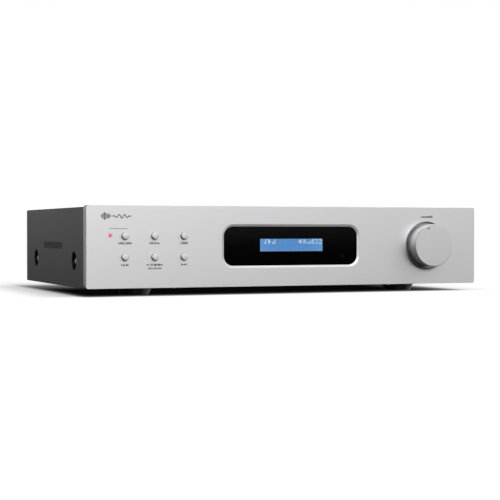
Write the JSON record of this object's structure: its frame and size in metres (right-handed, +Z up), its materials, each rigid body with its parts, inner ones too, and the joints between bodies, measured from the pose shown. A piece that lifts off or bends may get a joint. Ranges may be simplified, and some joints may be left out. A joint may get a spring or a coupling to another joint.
{
  "type": "integrated amplifier",
  "caption": "Slim full-width hi-fi integrated amplifier: silver front with lit display, push buttons and a large turning volume knob, dark steel cover, rear sockets.",
  "frame": {"origin": "on the floor plane, under the middle of the overall box", "axes": "front faces -Y, +X to the right seen from the front, +Z up"},
  "size_m": [0.43, 0.2906, 0.0891],
  "materials": {
    "silver_panel": "fine satin anodised",
    "silver_knob": "satin anodised, turned",
    "silver_button": "satin plated",
    "zinc_steel": "zinc plated sheet",
    "smoked_window": "smoked, polished",
    "black_film": "printed black",
    "black_steel": "black",
    "lcd_blue": "lit from behind",
    "circuit_board": "solder mask",
    "white_plastic": "moulded",
    "black_plastic": "moulded, fine texture",
    "black_gloss": "polished",
    "red_led": "clear red",
    "nickel": "nickel plated",
    "dark_ink": "printed",
    "black_cover": "fine textured powder coat",
    "zinc_screw": "bright zinc",
    "brass": "plain",
    "gold_plate": "gold plated",
    "transformer_tape": "wound polyester tape",
    "rubber_pad": "matt",
    "black_aluminium": "black anodised",
    "capacitor_sleeve": "shrink sleeve",
    "relay_blue": "moulded",
    "grey_cable": "ribbed",
    "wire_insulation": "soft",
    "black_cap": "moulded",
    "red_cap": "moulded"
  },
  "bodies": {
    "root": {"front_panel": "silver_panel", "front_subpanel": "zinc_steel", "display_window": "smoked_window", "window_mask": "black_film", "lcd_bezel": "black_steel", "lcd_glass": "lcd_blue", "lcd_board": "circuit_board", "button_guide": "white_plastic", "front_board": "circuit_board", "tact_switches": "black_plastic", "standby_led": "red_led", "ir_receiver": "black_gloss", "encoder_body": "zinc_steel", "encoder_nut": "nickel", "chassis_base": "zinc_steel", "top_cover": "black_cover", "rear_panel": "black_cover", "feet": "black_gloss", "foot_screws": "zinc_screw", "cover_screws": "zinc_screw", "panel_screws": "zinc_screw", "board_standoffs": "brass", "board_screws": "zinc_screw", "transformer_coil": "transformer_tape", "transformer_dish": "zinc_steel", "transformer_pads": "rubber_pad", "transformer_bolt": "zinc_screw", "mains_inlet": "black_plastic", "power_switch_body": "black_plastic", "main_board": "circuit_board", "heatsink": "black_aluminium", "output_transistors": "black_plastic", "filter_capacitors": "capacitor_sleeve", "speaker_relay": "relay_blue", "phono_block": "black_plastic", "phono_sleeves": "nickel", "ribbon_cable": "grey_cable", "power_wires": "wire_insulation", "post_shafts": "gold_plate", "post_bases": "black_plastic"},
    "standby_button": {"standby_button": "silver_button"},
    "source_button": {"source_button": "silver_button"},
    "menu_button": {"menu_button": "silver_button"},
    "previous_button": {"previous_button": "silver_button"},
    "play_button": {"play_button": "silver_button"},
    "next_button": {"next_button": "silver_button"},
    "knob": {"volume_knob": "silver_knob", "knob_insert": "black_plastic", "knob_pointer": "dark_ink", "encoder_shaft": "nickel"},
    "rocker": {"power_rocker": "black_gloss"},
    "fuse_drawer": {"fuse_drawer": "black_plastic"},
    "washer_1": {"post_washer_1": "gold_plate"},
    "nut_1": {"post_nut_1": "black_cap"},
    "washer_2": {"post_washer_2": "gold_plate"},
    "nut_2": {"post_nut_2": "red_cap"},
    "washer_3": {"post_washer_3": "gold_plate"},
    "nut_3": {"post_nut_3": "black_cap"},
    "washer_4": {"post_washer_4": "gold_plate"},
    "nut_4": {"post_nut_4": "red_cap"}
  },
  "joints": [
    {"name": "standby_button_press", "type": "slide", "parent": "root", "child": "standby_button", "axis": [0, 1, 0], "range_m": [0, 0.0006], "stiffness_N_per_m": 400, "springref_m": -0.0002},
    {"name": "source_button_press", "type": "slide", "parent": "root", "child": "source_button", "axis": [0, 1, 0], "range_m": [0, 0.0006], "stiffness_N_per_m": 400, "springref_m": -0.0002},
    {"name": "menu_button_press", "type": "slide", "parent": "root", "child": "menu_button", "axis": [0, 1, 0], "range_m": [0, 0.0006], "stiffness_N_per_m": 400, "springref_m": -0.0002},
    {"name": "previous_button_press", "type": "slide", "parent": "root", "child": "previous_button", "axis": [0, 1, 0], "range_m": [0, 0.0006], "stiffness_N_per_m": 400, "springref_m": -0.0002},
    {"name": "play_button_press", "type": "slide", "parent": "root", "child": "play_button", "axis": [0, 1, 0], "range_m": [0, 0.0006], "stiffness_N_per_m": 400, "springref_m": -0.0002},
    {"name": "next_button_press", "type": "slide", "parent": "root", "child": "next_button", "axis": [0, 1, 0], "range_m": [0, 0.0006], "stiffness_N_per_m": 400, "springref_m": -0.0002},
    {"name": "volume_turn", "type": "hinge", "parent": "root", "child": "knob", "pos_m": [0.1562, -0.1297, 0.0492], "axis": [0, 1, 0], "continuous": true},
    {"name": "power_rocker_tilt", "type": "hinge", "parent": "root", "child": "rocker", "pos_m": [-0.118, 0.1263, 0.0385], "axis": [1, 0, 0], "range_deg": [-16, 0]},
    {"name": "fuse_drawer_slide", "type": "slide", "parent": "root", "child": "fuse_drawer", "axis": [0, 1, 0], "range_m": [0, 0.012]},
    {"name": "post_washer_1_slide", "type": "slide", "parent": "root", "child": "washer_1", "axis": [0, 1, 0], "range_m": [0, 0.004]},
    {"name": "post_nut_1_turn", "type": "hinge", "parent": "washer_1", "child": "nut_1", "pos_m": [0.012, 0.1383, 0.0365], "axis": [0, 1, 0], "range_deg": [0, 1442]},
    {"name": "post_washer_2_slide", "type": "slide", "parent": "root", "child": "washer_2", "axis": [0, 1, 0], "range_m": [0, 0.004]},
    {"name": "post_nut_2_turn", "type": "hinge", "parent": "washer_2", "child": "nut_2", "pos_m": [0.031, 0.1383, 0.0365], "axis": [0, 1, 0], "range_deg": [0, 1442]},
    {"name": "post_washer_3_slide", "type": "slide", "parent": "root", "child": "washer_3", "axis": [0, 1, 0], "range_m": [0, 0.004]},
    {"name": "post_nut_3_turn", "type": "hinge", "parent": "washer_3", "child": "nut_3", "pos_m": [0.055, 0.1383, 0.0365], "axis": [0, 1, 0], "range_deg": [0, 1442]},
    {"name": "post_washer_4_slide", "type": "slide", "parent": "root", "child": "washer_4", "axis": [0, 1, 0], "range_m": [0, 0.004]},
    {"name": "post_nut_4_turn", "type": "hinge", "parent": "washer_4", "child": "nut_4", "pos_m": [0.074, 0.1383, 0.0365], "axis": [0, 1, 0], "range_deg": [0, 1442]}
  ],
  "couplings": [
    {"joint": "post_nut_1_turn", "follows": "post_washer_1_slide", "rad_per_m": 6283.2},
    {"joint": "post_nut_2_turn", "follows": "post_washer_2_slide", "rad_per_m": 6283.2},
    {"joint": "post_nut_3_turn", "follows": "post_washer_3_slide", "rad_per_m": 6283.2},
    {"joint": "post_nut_4_turn", "follows": "post_washer_4_slide", "rad_per_m": 6283.2}
  ]
}
